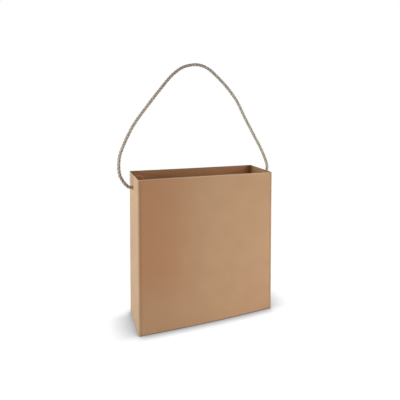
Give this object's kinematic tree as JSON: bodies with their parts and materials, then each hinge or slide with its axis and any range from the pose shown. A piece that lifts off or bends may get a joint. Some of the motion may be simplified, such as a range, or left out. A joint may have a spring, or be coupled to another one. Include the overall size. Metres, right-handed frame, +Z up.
{
  "type": "cardboard gift bag",
  "caption": "Free-standing open-top gift bag folded from one corrugated blank, with a locked base and a rope handle knotted through its side panels.",
  "frame": {"origin": "centre of the bag's footprint, on the surface it stands on", "axes": "+Z up towards the open rim; +X to the bag's right seen from the front, along its width; the front panel faces -Y"},
  "size_m": [0.4091, 0.11, 0.6245],
  "materials": {
    "kraft_board": "matte unbleached kraft liner",
    "twisted_rope": "matte undyed plant fibre, three strands"
  },
  "bodies": {
    "bag": {"front_panel": "kraft_board", "back_panel": "kraft_board", "left_side_panel": "kraft_board", "right_side_panel": "kraft_board", "glue_flap": "kraft_board", "base_flap_front": "kraft_board", "base_flap_back": "kraft_board", "base_flap_left": "kraft_board", "base_flap_right": "kraft_board"},
    "handle": {"rope_handle": "twisted_rope", "left_knot": "twisted_rope", "right_knot": "twisted_rope"}
  },
  "joints": [
    {"name": "handle_swing", "type": "hinge", "parent": "bag", "child": "handle", "pos_m": [0, 0.018, 0.321], "axis": [1, 0, 0], "range_deg": [-153, 125]}
  ]
}
